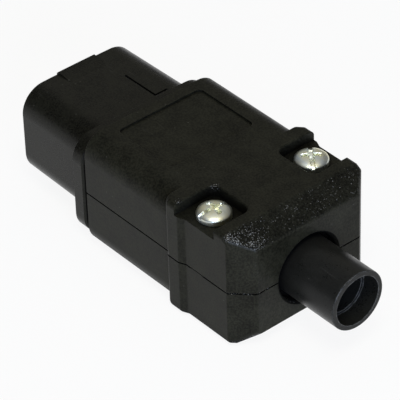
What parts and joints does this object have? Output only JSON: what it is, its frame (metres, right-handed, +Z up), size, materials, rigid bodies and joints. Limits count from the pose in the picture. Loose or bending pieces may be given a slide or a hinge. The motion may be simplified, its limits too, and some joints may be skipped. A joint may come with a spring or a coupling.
{
  "type": "iec_power_connector",
  "caption": "Black rewireable 16 A appliance power connector with a flat-pin socket nose, screwed half shells and a round cable sleeve",
  "frame": {"origin": "under the middle of the length and width, on the plane that the connector rests on", "axes": "+X runs along the connector from the socket nose to the cable sleeve, +Y across it, +Z up with the screw heads on top"},
  "size_m": [0.083, 0.0352, 0.0261],
  "materials": {
    "shell_plastic": "moulded black, fine grain, spark-eroded on the rear slope",
    "insert_plastic": "moulded black, fine grain",
    "sleeve_plastic": "moulded black, half-matt",
    "clamp_plastic": "moulded black",
    "zinc_steel": "zinc plated with a faint yellow and blue sheen",
    "terminal_steel": "zinc plated",
    "contact_brass": "stamped and folded strip"
  },
  "bodies": {
    "root": {"socket_insert": "insert_plastic", "contact_carrier": "insert_plastic", "upper_shell": "shell_plastic", "lower_shell": "shell_plastic", "cable_sleeve": "sleeve_plastic", "housing_screws": "zinc_steel", "housing_nuts": "zinc_steel", "line_contact": "contact_brass", "neutral_contact": "contact_brass", "earth_contact": "contact_brass", "terminal_nuts": "terminal_steel", "terminal_washers": "terminal_steel", "terminal_screws": "terminal_steel", "cord_clamp": "clamp_plastic", "cord_clamp_screws": "terminal_steel"}
  },
  "joints": []
}
